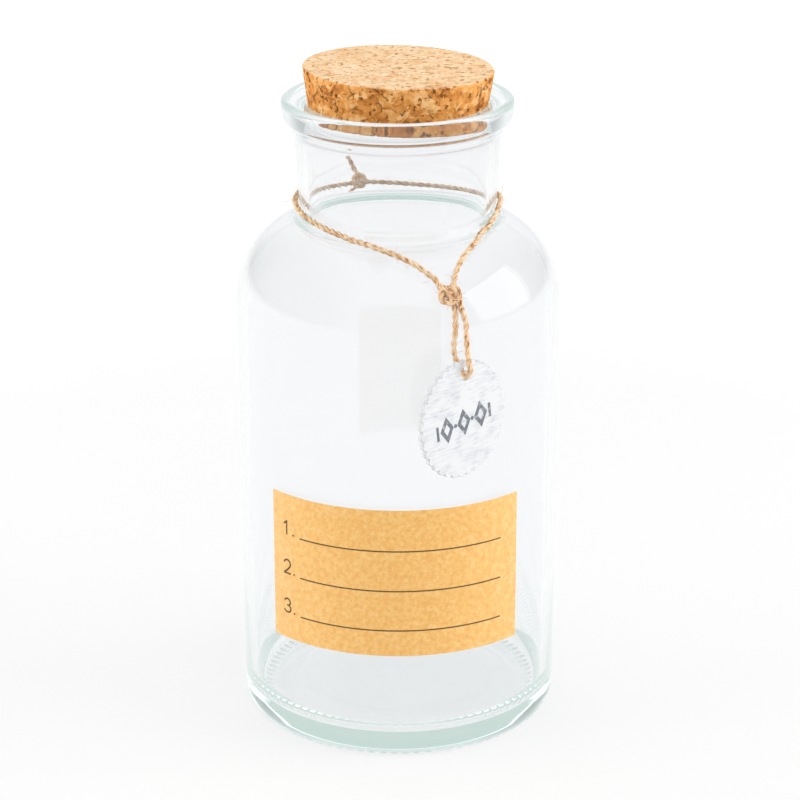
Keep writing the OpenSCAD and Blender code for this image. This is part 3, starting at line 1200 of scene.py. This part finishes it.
# The tag: a thin disc of white-washed wood with a scalloped edge and a drilled hole. The wash
# was brushed on, and a worn grey ornament is stamped across it.
tag_pos = Vector((20.5452, -52.6956, 114.3))
tag_r = 17.9
tag_t = 1.6
scallops = 36
scallop_h = 1.0
hole_r = 2.2
hole_at = 13.9
hole_turn = math.radians(7)
tag_face = 47
tag_lean = math.radians(2.9)
lobe_r = math.pi * tag_r / scallops
lobe_c = tag_r - lobe_r
tag_bevel = 0.15

tag_place = (
    Matrix.Translation(tag_pos * MM)
    @ Matrix.Rotation(math.radians(tag_face), 4, "Z")
    @ Matrix.Rotation(math.pi / 2 - tag_lean, 4, "X")
    @ Matrix.Scale(MM, 4)
)

washed, tree = new_material("whitewashed_wood")
place = add_node(tree, "ShaderNodeTexCoord").outputs["Object"]
brushed = add_node(
    tree,
    "ShaderNodeMapping",
    {"Vector": place, "Rotation": (0, 0, math.radians(tag_face)), "Scale": (7.0, 1.0, 1.0)},
    vector_type="TEXTURE",
)
strokes = add_node(
    tree,
    "ShaderNodeTexNoise",
    {"Vector": brushed.outputs[0], "Scale": 1500.0, "Detail": 4.0, "Roughness": 0.65},
)
thin_places = add_node(tree, "ShaderNodeTexNoise", {"Vector": place, "Scale": 260.0, "Detail": 3.0})
wash_tone = math_node(
    tree,
    "ADD",
    math_node(tree, "MULTIPLY", strokes.outputs["Fac"], 0.6),
    math_node(tree, "MULTIPLY", thin_places.outputs["Fac"], 0.4),
)
wash = ramp_node(
    tree,
    wash_tone,
    [(0.36, srgb(202, 206, 211)), (0.45, srgb(219, 221, 224)), (0.54, srgb(229, 230, 231))],
)
wash_bump = add_node(
    tree,
    "ShaderNodeBump",
    {"Height": strokes.outputs["Fac"], "Strength": 0.4, "Distance": 0.0002},
)
shader = add_node(
    tree,
    "ShaderNodeBsdfPrincipled",
    {"Base Color": wash, "Roughness": 0.6, "Specular IOR Level": 0.3, "Normal": wash_bump.outputs[0]},
)
finish_material(tree, shader)


def flat_piece(name, outlines, half_t, bevel, place, finish):
    """A flat plate with rounded edges, from closed outlines of which the inner ones are holes."""
    data = bpy.data.curves.new(name, "CURVE")
    data.dimensions = "2D"
    data.fill_mode = "BOTH"
    data.extrude = half_t - bevel
    data.bevel_depth = bevel
    data.bevel_resolution = 2
    data.offset = -bevel
    for outline in outlines:
        spline = data.splines.new("POLY")
        spline.points.add(len(outline) - 1)
        for point, (x, y) in zip(spline.points, outline):
            point.co = (x, y, 0, 1)
        spline.use_cyclic_u = True
    holder = bpy.data.objects.new(name + "_curve", data)
    scene.collection.objects.link(holder)
    mesh = bpy.data.meshes.new_from_object(holder)
    bpy.data.objects.remove(holder)
    made = bmesh.new()
    made.from_mesh(mesh)
    bmesh.ops.remove_doubles(made, verts=made.verts, dist=1e-5)
    bmesh.ops.recalc_face_normals(made, faces=made.faces)
    made.to_mesh(mesh)
    made.free()
    mesh.transform(place)
    mesh.materials.clear()
    mesh.materials.append(finish)
    mesh.name = name
    made = bpy.data.objects.new(name, mesh)
    scene.collection.objects.link(made)
    return made


scalloped = []
for k in range(scallops * 10):
    a = 2 * math.pi * k / (scallops * 10)
    off = (a * scallops / (2 * math.pi)) % 1 - 0.5
    off *= 2 * math.pi / scallops
    reach = lobe_r**2 - (lobe_c * math.sin(off)) ** 2
    lobe = lobe_c * math.cos(off) + math.sqrt(max(reach, 0))
    r = max(tag_r - scallop_h, lobe)
    scalloped.append((r * math.cos(a), r * math.sin(a)))
drilled = []
for k in range(40):
    a = -2 * math.pi * k / 40
    drilled.append(
        (
            hole_at * math.sin(hole_turn) + hole_r * math.cos(a),
            hole_at * math.cos(hole_turn) + hole_r * math.sin(a),
        )
    )
tag = flat_piece("scalloped_tag", [scalloped, drilled], tag_t / 2, tag_bevel, tag_place, washed)

worn_ink, tree = new_material("worn_stamp_ink")
place = add_node(tree, "ShaderNodeTexCoord").outputs["Object"]
wear = add_node(
    tree, "ShaderNodeTexNoise", {"Vector": place, "Scale": 900.0, "Detail": 4.0, "Roughness": 0.7}
)
worn = ramp_node(
    tree,
    wear.outputs["Fac"],
    [(0.5, srgb(112, 116, 124)), (0.6, srgb(132, 136, 143)), (0.66, srgb(226, 228, 230))],
)
shader = add_node(
    tree, "ShaderNodeBsdfPrincipled", {"Base Color": worn, "Roughness": 0.7}
)
finish_material(tree, shader)

stamp_turn = math.radians(5.3)
stamp_y = -0.9
stamp_x = 0.0
stamp_h = 8.4
stamp_shapes = []
for x in (-7.2, 0.0, 7.2):
    half_w, half_h = 2.8, stamp_h / 2
    stamp_shapes.append(
        [
            [(x, half_h), (x + half_w, 0), (x, -half_h), (x - half_w, 0)][::-1],
            [(x, half_h * 0.46), (x + half_w * 0.46, 0), (x, -half_h * 0.46), (x - half_w * 0.46, 0)],
        ]
    )
for x in (-3.6, 3.6):
    stamp_shapes.append(
        [[(x + 0.65 * math.cos(k * math.pi / 8), 0.65 * math.sin(k * math.pi / 8)) for k in range(16)]]
    )
for side in (-1, 1):
    x = side * 11.1
    stamp_shapes.append([[(x - 0.5, -2.2), (x + 0.5, -2.2), (x + 0.5, 2.2), (x - 0.5, 2.2)]])
stamps = []
for count, outlines in enumerate(stamp_shapes, 1):
    place = (
        tag_place
        @ Matrix.Translation((stamp_x, stamp_y, tag_t / 2 + 0.02))
        @ Matrix.Rotation(stamp_turn, 4, "Z")
    )
    stamps.append(flat_piece(f"stamped_mark_{count}", outlines, 0.03, 0.01, place, worn_ink))
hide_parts("tag")
for piece in [tag] + stamps:
    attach(piece, "hung_tag")

# The studio: a white sweep of paper under the jar, a lamp over it and a soft box at each side.
scene.view_settings.view_transform = "Standard"
floor_r_m = 4.0
paper, tree = new_material("white_floor")
path = add_node(tree, "ShaderNodeLightPath").outputs
seen = math_node(
    tree,
    "MAXIMUM",
    path["Is Camera Ray"],
    math_node(tree, "MAXIMUM", path["Is Glossy Ray"], path["Is Transmission Ray"]),
)
floor_place = add_node(tree, "ShaderNodeTexCoord").outputs["Object"]
away = add_node(tree, "ShaderNodeVectorMath", {0: floor_place}, operation="LENGTH").outputs["Value"]
glow = map_node(tree, away, 0.3, 1.5, 0.62, 0.97)
seen_glow = map_node(tree, path["Is Camera Ray"], 0.0, 1.0, 0.67, glow)
own = add_node(tree, "ShaderNodeEmission", {"Color": (1, 1, 1, 1), "Strength": seen_glow})
lit = add_node(tree, "ShaderNodeBsdfDiffuse", {"Color": (0.34, 0.34, 0.34, 1)})
pale = add_node(tree, "ShaderNodeBsdfDiffuse", {"Color": (0.8, 0.8, 0.8, 1)})
bright = add_node(tree, "ShaderNodeAddShader", {0: own.outputs[0], 1: lit.outputs[0]})
shown = add_node(tree, "ShaderNodeMixShader", {0: seen, 1: pale.outputs[0], 2: bright.outputs[0]})
finish_material(tree, shown)
ring_points = [
    Vector((math.cos(k * math.pi / 32), math.sin(k * math.pi / 32), 0)) * floor_r_m
    for k in range(64)
]
floor = mesh_object("floor", ring_points, [tuple(range(64))], paper, smooth=False)
floor.data.transform(Matrix.Translation((0, 0, -0.00005)))

world = bpy.data.worlds.new("white_room")
world.use_nodes = True
scene.world = world
tree = world.node_tree
tree.nodes.clear()
path = add_node(tree, "ShaderNodeLightPath").outputs
direction = add_node(tree, "ShaderNodeTexCoord").outputs["Generated"]
aside = math_node(
    tree, "ABSOLUTE", add_node(tree, "ShaderNodeSeparateXYZ", {0: direction}).outputs["X"]
)
room = ramp_node(
    tree,
    aside,
    [(0.0, (0.97, 0.97, 0.99)), (0.35, (0.97, 0.97, 0.99)), (0.75, (0.55, 0.57, 0.57)), (1.0, (0.5, 0.52, 0.52))],
)
mirrored = add_node(tree, "ShaderNodeBackground", {"Color": room, "Strength": 1.0})
ambient = add_node(tree, "ShaderNodeBackground", {"Color": (1, 1, 1, 1), "Strength": 0.45})
backdrop = add_node(tree, "ShaderNodeBackground", {"Color": (1, 1, 1, 1), "Strength": 1.0})
through = math_node(tree, "MAXIMUM", path["Is Glossy Ray"], path["Is Transmission Ray"])
unseen = add_node(
    tree, "ShaderNodeMixShader", {0: through, 1: ambient.outputs[0], 2: mirrored.outputs[0]}
)
whole = add_node(
    tree,
    "ShaderNodeMixShader",
    {0: path["Is Camera Ray"], 1: unseen.outputs[0], 2: backdrop.outputs[0]},
)
out = add_node(tree, "ShaderNodeOutputWorld")
tree.links.new(whole.outputs[0], out.inputs["Surface"])

for name, place, width, height, power, mirrored_too in (
    ("softbox_right", (1.42, -0.12, 0.65), 1.4, 1.1, 5.0, True),
    ("panel_right", (1.45, -0.12, 0.66), 1.4, 1.1, 12.0, False),
    ("panel_left", (-1.42, -0.12, 0.65), 1.4, 1.1, 15.0, False),
    ("panel_front", (0.2, -1.5, 1.2), 1.8, 1.2, 5.5, False),
    ("panel_back", (-0.3, 1.5, 1.0), 1.6, 1.2, 4.0, False),
    ("panel_top", (0.0, 0.2, 1.7), 1.0, 1.0, 3.0, False),
):
    data = bpy.data.lights.new(name, "AREA")
    data.shape = "RECTANGLE"
    data.size = width
    data.size_y = height
    data.energy = power
    lamp = bpy.data.objects.new(name, data)
    lamp.location = place
    lamp.visible_glossy = mirrored_too
    lamp.visible_transmission = mirrored_too
    aim = Vector((0, 0, 0.12)) - Vector(place)
    lamp.rotation_euler = aim.to_track_quat("-Z", "Y").to_euler()
    scene.collection.objects.link(lamp)
